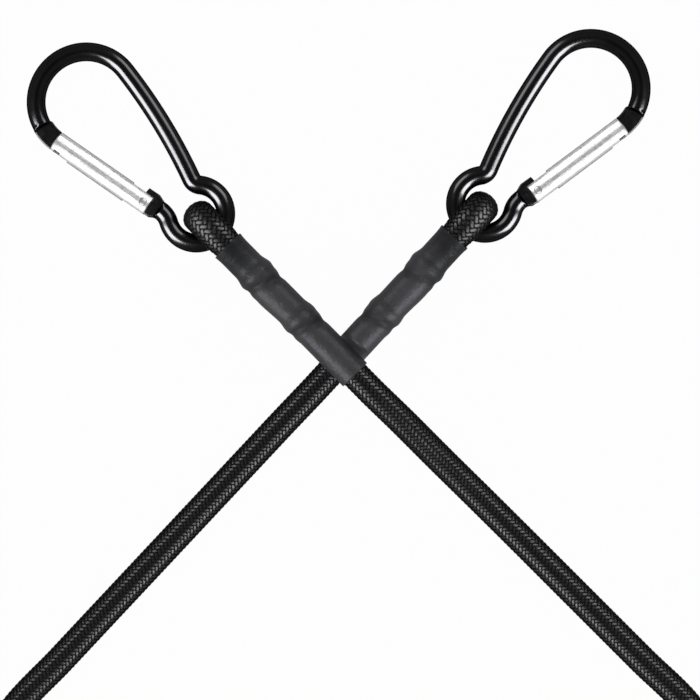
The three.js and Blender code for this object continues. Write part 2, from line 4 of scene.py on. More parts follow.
import bmesh
import bpy
import numpy as np
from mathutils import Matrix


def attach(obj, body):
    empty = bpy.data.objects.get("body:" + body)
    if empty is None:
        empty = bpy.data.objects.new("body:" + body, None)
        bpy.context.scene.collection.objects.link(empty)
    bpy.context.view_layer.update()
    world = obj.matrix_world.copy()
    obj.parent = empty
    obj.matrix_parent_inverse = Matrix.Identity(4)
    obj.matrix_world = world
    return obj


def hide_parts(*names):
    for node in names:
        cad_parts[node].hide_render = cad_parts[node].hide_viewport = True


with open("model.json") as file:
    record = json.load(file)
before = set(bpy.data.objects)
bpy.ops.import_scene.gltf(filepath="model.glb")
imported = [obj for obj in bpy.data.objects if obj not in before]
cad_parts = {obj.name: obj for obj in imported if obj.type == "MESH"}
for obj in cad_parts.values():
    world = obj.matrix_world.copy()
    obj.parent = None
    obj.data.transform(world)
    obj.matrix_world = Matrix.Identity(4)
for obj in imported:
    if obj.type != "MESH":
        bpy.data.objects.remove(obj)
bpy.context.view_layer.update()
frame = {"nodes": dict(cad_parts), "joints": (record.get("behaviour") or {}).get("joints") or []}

MM = 0.001
SIDES = ("left", "right")

joints = {joint["name"]: joint for joint in frame["joints"]}

# The layout's own frame, in which the route is written, and where the left rod sits in it
LEFT_ROD = (-38.65, 36.26, 12.0076)
LAYOUT_SHIFT = np.array(joints["left_hook_swing"]["pos_m"]) / MM - LEFT_ROD

# Camera, straight above
VIEW_CENTRE = np.array([3.15, 0.0]) + LAYOUT_SHIFT[:2]
VIEW_HALF = 110.25
VIEW_LEVEL = 6.0  # height at which the view's scale holds
CAMERA_HEIGHT = 2500.0
SENSOR = 36.0

# Elastic cord
CORD_RADIUS = 4.62
CORD_LIFT = 0.13
LEG_HALF_WIDTH = 4.5
LEG_HALF_THICKNESS = 4.35
LEG_HEIGHT = 4.5
LOOP_REACH = 8.3
LOOP_HALF_HEIGHT = 7.7
LOOP_HALF_WIDTH = 5.2
LOOP_HALF_THICKNESS = 4.1
LOOP_SWELL = 0.12  # how far the loop's braid stands proud of those
FLARE_LENGTH = 17.0
SPREAD_LENGTH = 8.0
LOOP_END = 59.0  # from the rod's centre to where the loop's braid meets the free cord's
TAIL_LENGTH = {"left": 46.3, "right": 49.0}
FREE_START = 59.2

# Crimps under the sleeves
CRIMPS = (18.8, 38.3)
CRIMP_FLAT = 2.2
CRIMP_REACH = 5.0
CRIMP_HALF_WIDTH = 3.05
CRIMP_HALF_THICKNESS = 3.75
CRIMP_LEG_HEIGHT = 3.9
RING_BUILD = 1.75  # a ring's wire and its fit

# Sleeve
SLEEVE_MOUTH = 4.8
SLEEVE_REACH = 61.8
SLEEVE_WALL = 0.45
SLEEVE_COVER = 0.78
TAIL_DRAPE = 4.6
SEAT_GAP = 0.3
WRAP_SHARPNESS = 3.0

# Hook
ROD_RADIUS = 3.0
EYE_RADIUS = 9.2
NEST_RADIUS = 15.75
CENTRE_DISTANCE = 50.3
SPINE_RADIUS = 180.0
SPINE_START = math.radians(6.5)
NECK_RADIUS = 3.3
HINGE_BEND_RADIUS = 7.0
NOSE_SHOULDER = math.radians(78)
FLAT_HALF = 1.4

# Gate
GATE_RADIUS = 3.5
GATE_INSET = 6.55
PIN_PLACE = 15.8
GATE_TAIL = 2.2
NOSE_COVER = 0.5
GATE_ROUND = 0.55
BORE_RADIUS = 2.1
BORE_DEPTH = 22.0
HINGE_SLOT_DEPTH = 6.2
NOSE_SLOT_DEPTH = 6.7
NOSE_SLOT_WALL = 2.3
SLOT_HALF = 1.65
TONGUE_INSET = 0.9
BLADE_REACH = 4.5
BLADE_OUTER = 3.05
BLADE_INNER = 1.9
NOSE_INNER = 3.5
PRESS_LENGTH = 1.2  # from the round rod to the pressed flat
PIN_RADIUS = 1.0
NOSE_PIN_PLACE = 2.5
NOSE_PIN_ROOM = 1.15
NOSE_PIN_HALF = 2.55

GATE_ANGLE = math.asin((NEST_RADIUS - GATE_INSET) / CENTRE_DISTANCE)
GATE_REACH = CENTRE_DISTANCE * math.cos(GATE_ANGLE) + NOSE_COVER - PIN_PLACE

# Layout: where each end points, and how it climbs
END_BEARING = {"left": math.radians(134.6), "right": math.radians(47.4)}
END_RISE = {"left": 0.01177, "right": 0.03847}
TURNED = {"left": 1, "right": -1}
LEAD_LENGTH = 8.0

# The free cord's route between the lead points, from the left end's to the right end's
ROUTE = np.array([
    [19.2, -22.0, 13.2],
    [31.8, -34.6, 8.0],
    [44.6, -47.2, 5.2],
    [57.3, -59.8, 4.45],
    [69.9, -72.4, 4.45],
    [82.5, -85.0, 4.45],
    [95.1, -97.6, 4.45],
    [110.5, -113.0, 4.45],
    [120.8, -130.9, 4.45],
    [120.8, -151.7, 4.45],
    [110.5, -169.6, 4.45],
    [92.6, -179.9, 4.45],
    [68.0, -181.8, 4.45],
    [36.0, -182.2, 4.45],
    [4.0, -182.4, 4.45],
    [-28.0, -182.2, 4.45],
    [-58.0, -181.7, 4.45],
    [-84.4, -179.8, 4.45],
    [-102.3, -169.5, 4.45],
    [-112.6, -151.6, 4.45],
    [-112.6, -130.8, 4.45],
    [-103.2, -113.8, 4.45],
    [-88.0, -97.6, 4.45],
    [-76.2, -85.0, 4.45],
    [-64.4, -72.4, 4.45],
    [-52.6, -59.8, 4.45],
    [-40.8, -47.2, 4.45],
    [-29.0, -34.6, 4.45],
    [-17.2, -22.0, 4.5],
])
ROUTE_STEPS = 16  # from one of its points to the next

# Braid
STRANDS = 18  # each way
BRAID_LEAD = 26.4  # length over which a strand goes once round
BRAID_DEPTH = 0.14
CORD_TWIST = (-10, 10.5)  # degrees by which the braid is turned at its two ends
CELL_CROWN = 0.92  # relief at the middle of a crossing
FIBRES = 5  # across a strand


# Placing
def unit(vector):
    vector = np.asarray(vector, float)
    return vector / np.linalg.norm(vector)


def placed(origin, x, z):
    """A local frame in the row frame: its axes as columns, and its origin in metres."""
    return np.column_stack([x, np.cross(z, x), z]), np.asarray(origin, float)


def to_row(points, place):
    axes, origin = place
    return np.asarray(points, float) @ axes.T * MM + origin


def end_place(side):
    bearing, rise = END_BEARING[side], END_RISE[side]
    level = math.sqrt(1 - rise * rise)
    x = np.array([math.cos(bearing) * level, math.sin(bearing) * level, rise])
    z = unit(np.cross(x, [-math.sin(bearing), math.cos(bearing), 0])) * TURNED[side]
    return placed(joints[f"{side}_hook_swing"]["pos_m"], x, z)


def hook_place(side):
    z = -unit(joints[f"{side}_gate_hinge"]["axis"])
    y = unit(joints[f"{side}_hook_swing"]["axis"])
    return placed(joints[f"{side}_hook_swing"]["pos_m"], unit(np.cross(y, z)), z)


def gate_place(side):
    z = -unit(joints[f"{side}_gate_hinge"]["axis"])
    x = unit(joints[f"{side}_plunger_slide"]["axis"])
    return placed(joints[f"{side}_gate_hinge"]["pos_m"], x, z)


ENDS = {side: end_place(side) for side in SIDES}
HOOKS = {side: hook_place(side) for side in SIDES}
GATES = {side: gate_place(side) for side in SIDES}


# Meshes
def object_of(name, mesh, body):
    made = bpy.data.objects.new(name, mesh)
    bpy.context.scene.collection.objects.link(made)
    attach(made, body)
    return made


def mesh_of(name, points, faces):
    mesh = bpy.data.meshes.new(name)
    mesh.from_pydata(np.asarray(points).tolist(), [], faces)
    mesh.validate()
    return mesh


def faced_out(mesh):
    work = bmesh.new()
    work.from_mesh(mesh)
    bmesh.ops.recalc_face_normals(work, faces=work.faces)
    work.to_mesh(mesh)
    work.free()
    return mesh


def smooth(mesh, sharp_degrees):
    mesh.shade_smooth()
    mesh.set_sharp_from_angle(angle=math.radians(sharp_degrees))
    return mesh


def loft_faces(rings, sides, hollow):
    faces = []
    spans = rings if hollow else rings - 1
    for ring in range(spans):
        here, after = ring * sides, ((ring + 1) % rings) * sides
        for side in range(sides):
            over = (side + 1) % sides
            faces.append((here + side, here + over, after + over, after + side))
    if not hollow:
        faces.append(tuple(reversed(range(sides))))
        faces.append(tuple(range((rings - 1) * sides, rings * sides)))
    return faces


def lathe(profile, sides):
    """A solid of revolution about X, from (along, radius) pairs whose first and last radius is 0."""
    points, faces = [(profile[0][0], 0, 0)], []
    rings = profile[1:-1]
    for along, radius in rings:
        for side in range(sides):
            angle = 2 * math.pi * side / sides
            points.append((along, radius * math.cos(angle), radius * math.sin(angle)))
    points.append((profile[-1][0], 0, 0))
    for ring in range(len(rings) - 1):
        here = 1 + ring * sides
        for side in range(sides):
            over = (side + 1) % sides
            faces.append((here + side, here + over, here + sides + over, here + sides + side))
    last = 1 + (len(rings) - 1) * sides
    for side in range(sides):
        over = (side + 1) % sides
        faces.append((0, 1 + over, 1 + side))
        faces.append((len(points) - 1, last + side, last + over))
    return np.array(points, float), faces


def ease(value):
    value = np.clip(value, 0, 1)
    return value * value * (3 - 2 * value)


# Materials
class Finish:
    """A procedural material round one Principled shader."""

    def __init__(self, name, **sockets):
        self.material = bpy.data.materials.new(name)
        self.material.use_nodes = True
        self.tree = self.material.node_tree
        self.shader = self.tree.nodes["Principled BSDF"]
        self.wear(**sockets)

    def feed(self, socket, value):
        if isinstance(value, bpy.types.NodeSocket):
            self.tree.links.new(value, socket)
        else:
            socket.default_value = value

    def add(self, kind, inputs=(), **settings):
        made = self.tree.nodes.new("ShaderNode" + kind)
        for key, value in settings.items():
            setattr(made, key, value)
        for key, value in dict(inputs).items():
            self.feed(made.inputs[key], value)
        return made

    def math(self, operation, first, second=0.0):
        return self.add("Math", {0: first, 1: second}, operation=operation).outputs[0]

    def attribute(self, name):
        return self.add("Attribute", attribute_name=name)

    def place(self):
        return self.add("TexCoord").outputs["Object"]

    def stretched(self, vector, scale):
        return self.add("Mapping", {"Vector": vector, "Scale": scale}).outputs[0]

    def noise(self, vector, scale, detail=3.0, roughness=0.55):
        inputs = {"Vector": vector, "Scale": scale, "Detail": detail, "Roughness": roughness}
        return self.add("TexNoise", inputs).outputs["Fac"]

    def between(self, value, low, high, to_low, to_high):
        inputs = {0: value, 1: low, 2: high, 3: to_low, 4: to_high}
        return self.add("MapRange", inputs).outputs[0]

    def shades(self, value, dark, light):
        node = self.add("Mix", data_type="RGBA")
        self.feed(node.inputs[0], value)
        node.inputs[6].default_value = (*dark, 1)
        node.inputs[7].default_value = (*light, 1)
        return node.outputs[2]

    def bump(self, height, distance, strength=1.0, under=None):
        inputs = {"Height": height, "Distance": distance, "Strength": strength}
        if under is not None:
            inputs["Normal"] = under
        return self.add("Bump", inputs).outputs[0]

    def wear(self, **sockets):
        for key, value in sockets.items():
            self.feed(self.shader.inputs[key.replace("_", " ")], value)
        return self.material


def braid_finish():
    """Black yarn: each strand a bundle of fibres that shines along its crown and is rougher where the
    strands dive under one another. Its colour is painted darker in those grooves, as painted shade, and
    flecked at random."""
    finish = Finish("braid", Metallic=1.0, Specular_Tint=(0.4, 0.4, 0.4, 1))
    relief = finish.attribute("relief").outputs["Fac"]
    strand = finish.attribute("strand").outputs["Vector"]
    parts = finish.add("SeparateXYZ", {"Vector": strand}).outputs
    fibre = finish.math("SINE", finish.math("MULTIPLY", parts["Y"], 2 * math.pi * FIBRES))
    fleck = finish.noise(finish.stretched(strand, (1.1, 5.0, 3.7)), 1.6, 2.0)
    # Painted shade: the colour is darker in the grooves, where the relief is low, and flecked at random.
    crown = finish.between(relief, 0.12, 0.6, 0, 1)
    groove_shade_and_fleck = finish.math("MULTIPLY", crown, finish.between(fleck, 0.35, 0.65, 0.5, 1))
    colour = finish.shades(groove_shade_and_fleck, (0.004, 0.004, 0.0042), (0.046, 0.046, 0.047))
    shine = finish.between(fleck, 0.35, 0.65, 0.37, 0.27)
    rough = finish.math("ADD", shine, finish.between(relief, 0.15, 0.5, 0.25, 0))
    yarn = finish.bump(fleck, 0.00003, 0.5, finish.bump(fibre, 0.00001, 0.5))
    return finish.wear(Base_Color=colour, Roughness=rough, Normal=yarn)


# Where the painted shade at a sleeve's mouth sets in, in metres from the part's middle, and the level
# before and after
MOUTH_SHADE = (0.026, 0.033, 0.5, -0.22)


def sleeve_finish():
    """Heat-shrunk tube: dark grey, satin, drawn unevenly over the cord, so its shine is mottled. Its
    colour holds painted shade at the mouth and in the hollows behind the crimps.
    """
    finish = Finish("shrink_tube", Metallic=0.45, Specular_Tint=(0.4, 0.4, 0.4, 1))
    here = finish.place()
    cloud = finish.noise(here, 120.0, 4.0)
    mottle = finish.noise(here, 620.0, 3.0, 0.6)
    grain = finish.noise(here, 2600.0, 2.0)
    # Painted shade: the colour is darker at its mouth, towards the hook.
    parts = finish.add("SeparateXYZ", {"Vector": here}).outputs
    across = finish.math("ABSOLUTE", parts["X"])
    level = finish.math("MULTIPLY", cloud, 0.5)
    level = finish.math("ADD", level, finish.between(across, *MOUTH_SHADE))
    # Painted shade: the colour is darker in the hollows behind the crimps, which are also a little
    # rougher.
    hollow = finish.attribute("hollow").outputs["Fac"]
    level = finish.math("SUBTRACT", level, finish.math("MULTIPLY", hollow, 0.35))
    colour = finish.shades(level, (0.018, 0.0185, 0.021), (0.062, 0.062, 0.069))
    rough = finish.between(cloud, 0.3, 0.7, 0.38, 0.50)
    rough = finish.math("ADD", rough, finish.math("MULTIPLY", hollow, 0.1))
    soft = finish.bump(cloud, 0.0012, 0.5)
    soft = finish.bump(mottle, 0.00028, 0.8, soft)
    soft = finish.bump(grain, 0.00003, 0.5, soft)
    return finish.wear(Base_Color=colour, Roughness=rough, Normal=soft)


def gloss_black_finish():
    """Black plated rod: nearly mirror smooth, with faint orange peel and rubbed places."""
    finish = Finish("black_frame", Metallic=1.0, Specular_Tint=(0.34, 0.34, 0.36, 1))
    here = finish.place()
    rub = finish.noise(here, 140.0, 5.0, 0.65)
    colour = finish.shades(rub, (0.019, 0.019, 0.020), (0.026, 0.026, 0.027))
    rough = finish.between(rub, 0.35, 0.75, 0.16, 0.24)
    peel = finish.bump(finish.noise(here, 420.0, 2.0), 0.00004, 0.35)
    return finish.wear(Base_Color=colour, Roughness=rough, Normal=peel)


def pressed_black_finish():
    """Where the rod is pressed flat the plating is duller and a little scuffed."""
    finish = Finish("pressed_black", Metallic=1.0, Specular_Tint=(0.1, 0.1, 0.1, 1))
    here = finish.place()
    scuff = finish.noise(here, 700.0, 5.0, 0.6)
    colour = finish.shades(scuff, (0.012, 0.012, 0.0125), (0.022, 0.022, 0.0225))
    rough = finish.between(scuff, 0.3, 0.7, 0.24, 0.34)
    return finish.wear(Base_Color=colour, Roughness=rough, Normal=finish.bump(scuff, 0.00005, 0.4))


def polished_finish():
    """Polished aluminium gate with faint drawing lines along it."""
    finish = Finish("polished_gate", Metallic=1.0, Specular_Tint=(0.12, 0.12, 0.13, 1))
    lines = finish.attribute("along").outputs["Vector"]
    drawn = finish.noise(finish.stretched(lines, (0.1, 2.4, 2.4)), 1.0, 3.0)
    here = finish.place()
    cloud = finish.noise(here, 160.0, 3.0)
    mottle = finish.noise(here, 700.0, 2.0)
    colour = finish.shades(cloud, (0.80, 0.80, 0.81), (0.90, 0.90, 0.90))
    rough = finish.between(mottle, 0.35, 0.65, 0.22, 0.42)
    relief = finish.math("ADD", drawn, finish.math("MULTIPLY", mottle, 0.8))
    return finish.wear(Base_Color=colour, Roughness=rough, Normal=finish.bump(relief, 0.0001, 0.7))


def steel_finish(name, colour, roughness):
    """Plain steel of the pins and wires, lightly mottled."""
    finish = Finish(name, Metallic=1.0)
    mottle = finish.noise(finish.place(), 900.0, 4.0)
    low = tuple(0.75 * value for value in colour)
    return finish.wear(
        Base_Color=finish.shades(mottle, low, colour),
        Roughness=finish.between(mottle, 0.3, 0.7, roughness - 0.07, roughness + 0.07),
        Normal=finish.bump(mottle, 0.00003, 0.4),
    )


BRAID = braid_finish()
SLEEVE = sleeve_finish()
GLOSS_BLACK = gloss_black_finish()
PRESSED_BLACK = pressed_black_finish()
POLISHED = polished_finish()
STEEL_PIN = steel_finish("steel_pin", (0.74, 0.74, 0.75), 0.3)
STEEL_WIRE = steel_finish("steel_wire", (0.48, 0.50, 0.52), 0.38)


# Camera
camera_data = bpy.data.cameras.new("camera")
camera_data.sensor_width = SENSOR
camera_data.lens = SENSOR / 2 * (CAMERA_HEIGHT - VIEW_LEVEL) / VIEW_HALF
camera_data.clip_end = 50
camera = bpy.data.objects.new("camera", camera_data)
camera.location = (*(VIEW_CENTRE * MM), CAMERA_HEIGHT * MM)
bpy.context.scene.collection.objects.link(camera)
bpy.context.scene.camera = camera
bpy.context.scene.view_settings.view_transform = "Standard"


# Braided cord
def braided(name, line, across, half_width, half_thickness, body, twist=(0, 0)):
    """A tube of 2/2 braid along a fine line of points in metres. Each crossing of two strands is a
    cell of the lattice, and the strand on top stands proud of it."""
    line = np.asarray(line)
    step = np.linalg.norm(np.diff(line, axis=0), axis=1)
    run = np.concatenate([[0], np.cumsum(step)])
    rows = int(run[-1] / (BRAID_LEAD * MM) * 4 * STRANDS)
    rows -= rows % 2
    count = 2 * STRANDS
    row, column = np.meshgrid(np.arange(rows + 1), np.arange(count), indexing="ij")
    total = 2 * column + row % 2
    first, second = (total + row) // 2, (total - row) // 2
    cell = first // 2 + second // 2
    odd_first, odd_second = first % 2 == 1, second % 2 == 1
    # A strand runs on over the edge between two cells only where it is on top of both.
    first_on = (cell % 4 < 2) & ((cell - 1) % 4 < 2)
    second_on = (cell % 4 >= 2) & ((cell - 1) % 4 >= 2)
    run_on = (odd_first & ~odd_second & first_on) | (odd_second & ~odd_first & second_on)
    relief = np.where(odd_first & odd_second, CELL_CROWN, np.where(run_on, 1.0, 0.0))
    along = row / rows * run[-1]
    turned = np.radians(np.interp(along / run[-1], (0.3, 0.7), twist))
    angle = 2 * math.pi * total / (4 * STRANDS) + turned
    tangent = np.gradient(line, axis=0)
    tangent /= np.linalg.norm(tangent, axis=1)[:, None]
    out = np.cross(tangent, across)

    def at(values):
        return np.stack([np.interp(along, run, values[:, axis]) for axis in range(3)], -1)

    centre, side, up = at(line), at(across), at(out)
    wide = np.interp(along, run, half_width)[..., None] * MM
    thick = np.interp(along, run, half_thickness)[..., None] * MM
    sunk = (BRAID_DEPTH * MM * (1 - relief))[..., None]
    cos, sin = np.cos(angle)[..., None], np.sin(angle)[..., None]
    points = centre + side * cos * (wide - sunk) + up * sin * (thick - sunk)

    left = row * count + column
    right = row * count + (column + 1) % count
    beside = (column + row % 2) % count
    above, below = (row + 1) * count + beside, (row - 1) * count + beside
    inner = slice(1, rows)
    quads = np.stack([left, below, right, above], -1)[inner].reshape(-1, 4)
    starts = np.stack([left, right, above], -1)[0]
    ends = np.stack([left, below, right], -1)[rows]
    caps = [tuple(reversed(range(count))), tuple(range(rows * count, (rows + 1) * count))]
    mesh = bpy.data.meshes.new(name)
    mesh.from_pydata(
        points.reshape(-1, 3).tolist(), [], quads.tolist() + starts.tolist() + ends.tolist() + caps
    )
    mesh.attributes.new("relief", "FLOAT", "POINT").data.foreach_set("value", relief.ravel())

    # Each face knows its place along and across the strand on top of it.
    p0 = first[inner].ravel()
    q0 = second[inner].ravel()
    corners_p = np.stack([p0, p0, p0 + 1, p0 + 1], -1) / 2
    corners_q = np.stack([q0, q0 + 1, q0 + 1, q0], -1) / 2
    cell_p, cell_q = (p0 // 2)[:, None], (q0 // 2)[:, None]
    first_top = ((cell_p + cell_q) % 4) < 2
    strand = np.zeros((len(mesh.loops), 3))
    strand[: 4 * len(quads)] = np.stack(
        [
            np.where(first_top, corners_q, corners_p),
            np.where(first_top, corners_p - cell_p, corners_q - cell_q),
            np.where(first_top, cell_p % STRANDS, STRANDS + cell_q % STRANDS) + 0 * corners_p,
        ],
        -1,
    ).reshape(-1, 3)
    mesh.attributes.new("strand", "FLOAT_VECTOR", "CORNER").data.foreach_set("vector", strand.ravel())
    mesh.shade_smooth()
    mesh.materials.append(BRAID)
    return object_of(name, mesh, body)


def spline(points, steps):
    """A centripetal Catmull-Rom curve through the points."""
    points = np.asarray(points, float)
    lead_in = [2 * points[0] - points[1]]
    lead_out = [2 * points[-1] - points[-2]]
    points = np.concatenate([lead_in, points, lead_out])
    line = []
    for place in range(1, len(points) - 2):
        a, b, c, d = points[place - 1 : place + 3]
        before, across, after = (
            math.sqrt(np.linalg.norm(second - first)) for first, second in ((a, b), (b, c), (c, d))
        )
        leave = ((b - a) / before - (c - a) / (before + across) + (c - b) / across) * across
        arrive = ((c - b) / across - (d - b) / (across + after) + (d - c) / after) * across
        for share in np.arange(steps) / steps:
            line.append(
                b
                + leave * share
                + (3 * (c - b) - 2 * leave - arrive) * share**2
                + (2 * (b - c) + leave + arrive) * share**3
            )
    return np.array(line + [points[-2]])


def past_rod(side, distance):
    """A point on the long leg's line, in metres."""
    return to_row([-distance, 0, LEG_HEIGHT], ENDS[side])


lead = {side: past_rod(side, SLEEVE_REACH + LEAD_LENGTH) for side in SIDES}
mouth = {side: past_rod(side, SLEEVE_REACH + SEAT_GAP) for side in SIDES}
route = (ROUTE + LAYOUT_SHIFT + [0, 0, CORD_LIFT]) * MM
knots = [mouth["left"], lead["left"], *route, lead["right"], mouth["right"]]
free_line = spline(knots, ROUTE_STEPS)
free_line = np.concatenate(
    [[past_rod("left", FREE_START)], free_line, [past_rod("right", FREE_START)]]
)
free_across = np.cross(np.gradient(free_line, axis=0), [0, 0, 1])
free_across /= np.linalg.norm(free_across, axis=1)[:, None]
even = np.full(len(free_line), CORD_RADIUS)
cord = braided("cord_braid", free_line, free_across, even, even, "cord", CORD_TWIST)
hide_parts("cord_sheath", "cord_core")


# Ends: the doubled cord and its sleeve
def crimp_share(x):
    shares = [
        1 - ease((np.abs(x + place) - CRIMP_FLAT) / (CRIMP_REACH - CRIMP_FLAT)) for place in CRIMPS
    ]
    return np.maximum(*shares)


def leg_mix(x, plain, crimped, bent, length=FLARE_LENGTH):
    flare = ease((x + length) / length)
    return plain + (crimped - plain) * crimp_share(x) + (bent - plain) * flare


def leg_height(x):
    return leg_mix(x, LEG_HEIGHT, CRIMP_LEG_HEIGHT, LOOP_HALF_HEIGHT)


def leg_half_width(x):
    return leg_mix(x, LEG_HALF_WIDTH, CRIMP_HALF_WIDTH, LOOP_HALF_WIDTH, SPREAD_LENGTH)


def leg_half_thickness(x):
    return leg_mix(x, LEG_HALF_THICKNESS, CRIMP_HALF_THICKNESS, LOOP_HALF_THICKNESS)


LONG_LEG_STATIONS = 120
SHORT_LEG_STATIONS = 90
TURN_STATIONS = 61


def loop_braid(side):
    long_leg = np.linspace(-LOOP_END, 0, LONG_LEG_STATIONS)
    short_leg = np.linspace(0, -TAIL_LENGTH[side], SHORT_LEG_STATIONS)
    turn = np.radians(np.linspace(90, -90, TURN_STATIONS))
    x = np.concatenate([long_leg[:-1], LOOP_REACH * np.cos(turn), short_leg[1:]])
    z = np.concatenate(
        [
            leg_height(long_leg[:-1]),
            LOOP_HALF_HEIGHT * np.sin(turn),
            -leg_height(short_leg[1:]),
        ]
    )
    line = to_row(np.stack([x, 0 * x, z], -1), ENDS[side])
    across = np.tile(-ENDS[side][0][:, 1], (len(x), 1))
    along = np.minimum(x, 0)
    wide, thick = leg_half_width(along) + LOOP_SWELL, leg_half_thickness(along) + LOOP_SWELL
    made = braided(f"{side}_loop_braid", line, across, wide, thick, "cord")
    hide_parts(f"{side}_loop_sheath", f"{side}_loop_core")
    return made


SLEEVE_SIDES = 72
SLEEVE_STATIONS = 220
INSIDE_EVERY = 3  # the inside has a ring for every third one of the outside
SLEEVE_LIP = 0.12
RING_ANGLES = (np.arange(SLEEVE_SIDES) + 0.5) / SLEEVE_SIDES * 2 * math.pi
HOLLOW_LEAN = math.tan(math.radians(20))  # the hollows behind the crimps lie oblique
RIDGES = ((17.7, 0.4, 1.5), (37.2, 0.25, 1.5))  # place, height, half-length
HOLLOWS = ((21.6, 0.8, 1.5), (40.6, 0.8, 1.5))
# The lower side, as pictured, bulges between the crimps.
BULGE_PLACE, BULGE, BULGE_REACH = 25.0, 0.5, 5.5


def hollow_shares(x):
    """For each hollow, how far into it each point of a ring lies, from 0 to 1."""
    sinking = x - HOLLOW_LEAN * np.cos(RING_ANGLES) * LEG_HALF_WIDTH
    return [np.exp(-(((sinking + place) / reach) ** 2)) for place, _, reach in HOLLOWS]


def sleeve_ring(side, x, inset):
    cos, rise = np.cos(RING_ANGLES), np.sin(RING_ANGLES)
    tail = 1 - ease((-x - TAIL_LENGTH[side] - SEAT_GAP) / TAIL_DRAPE)
    top = leg_height(x)
    bottom = top + (-2 * top) * tail
    wide, thick = leg_half_width(x), leg_half_thickness(x)
    clearance = crimp_share(x) * RING_BUILD + SLEEVE_COVER - inset
    bulge = BULGE * math.exp(-(((x + BULGE_PLACE) / BULGE_REACH) ** 2))
    clearance = clearance + bulge * np.maximum(cos, 0) ** 2
    for place, height, reach in RIDGES:
        clearance = clearance + height * math.exp(-(((x + place) / reach) ** 2))
    for (_, depth, _), share in zip(HOLLOWS, hollow_shares(x)):
        hollow = depth * (0.35 + 0.65 * np.abs(rise))
        clearance = clearance - hollow * share
    span = np.hypot(wide * cos, thick * rise)
    centre = bottom + (top - bottom) * np.clip(0.5 + WRAP_SHARPNESS * rise, 0, 1)
    y = (wide**2 / span + clearance) * cos
    z = centre + (thick**2 / span + clearance) * rise
    return np.stack([np.full(SLEEVE_SIDES, x), y, z], -1)


def sleeve(side):
    places = np.linspace(-SLEEVE_REACH, -SLEEVE_MOUTH, SLEEVE_STATIONS)
    way_back = places[::INSIDE_EVERY][::-1]
    insets = [SLEEVE_LIP, *[0.0] * (SLEEVE_STATIONS - 2), SLEEVE_LIP]
    outside = [sleeve_ring(side, x, inset) for x, inset in zip(places, insets)]
    inside = [sleeve_ring(side, x, SLEEVE_WALL) for x in way_back]
    rings = np.array(outside + inside)
    points = to_row(rings.reshape(-1, 3), ENDS[side])
    faces = loft_faces(len(rings), SLEEVE_SIDES, True)
    mesh = smooth(faced_out(mesh_of(f"{side}_sleeve", points, faces)), 50)
    mesh.materials.append(SLEEVE)
    # How far each point lies in the hollows behind the crimps, for the finish's painted shade and
    # roughness there.
    sunk = [np.sum(hollow_shares(x), axis=0) for x in [*places, *way_back]]
    mesh.attributes.new("hollow", "FLOAT", "POINT").data.foreach_set("value", np.concatenate(sunk))
    made = object_of(f"{side}_sleeve", mesh, "cord")
    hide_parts(f"{side}_heat_shrink_sleeve")
    return made


# Hook frame
EYE = np.array([EYE_RADIUS, 0.0])
NEST = np.array([EYE_RADIUS + CENTRE_DISTANCE, 0.0])
GATE_FORWARD = np.array([math.cos(GATE_ANGLE), math.sin(GATE_ANGLE)])
GATE_OUTWARD = np.array([-math.sin(GATE_ANGLE), math.cos(GATE_ANGLE)])


def circles_meet(first, first_radius, second, second_radius):
    between = second - first
    distance = np.linalg.norm(between)
    along = (distance**2 + first_radius**2 - second_radius**2) / (2 * distance)
    aside = math.sqrt(first_radius**2 - along**2)
    ahead = between / distance
    return first + ahead * along + np.array([ahead[1], -ahead[0]]) * aside


def bearing(centre, point):
    return math.atan2(point[1] - centre[1], point[0] - centre[0])


def arc(centre, radius, start, end, clockwise):
    turn = ((start - end) if clockwise else (end - start)) % (2 * math.pi)
    return centre, radius, start, -turn if clockwise else turn


def rod_arcs():
    spine_top = -math.pi / 2 - SPINE_START
    lean = np.array([math.sin(SPINE_START), math.cos(SPINE_START)])
    spine = NEST + lean * (SPINE_RADIUS - NEST_RADIUS)
    neck = circles_meet(EYE, EYE_RADIUS + NECK_RADIUS, spine, SPINE_RADIUS + NECK_RADIUS)
    rise = GATE_INSET - TONGUE_INSET + HINGE_BEND_RADIUS
    ahead = math.sqrt((EYE_RADIUS + HINGE_BEND_RADIUS) ** 2 - rise**2)
    bend = EYE + GATE_OUTWARD * rise + GATE_FORWARD * ahead
    tangent_point = math.pi / 2 + GATE_ANGLE
    return [
        arc(NEST, NEST_RADIUS, tangent_point, NOSE_SHOULDER, True),
        arc(NEST, NEST_RADIUS, NOSE_SHOULDER, spine_top, True),
        arc(spine, SPINE_RADIUS, spine_top, bearing(spine, neck), True),
        arc(neck, NECK_RADIUS, bearing(neck, spine), bearing(neck, EYE), False),
        arc(EYE, EYE_RADIUS, bearing(EYE, neck), bearing(EYE, bend), True),
        arc(bend, HINGE_BEND_RADIUS, bearing(bend, EYE), GATE_ANGLE - math.pi / 2, False),
    ]


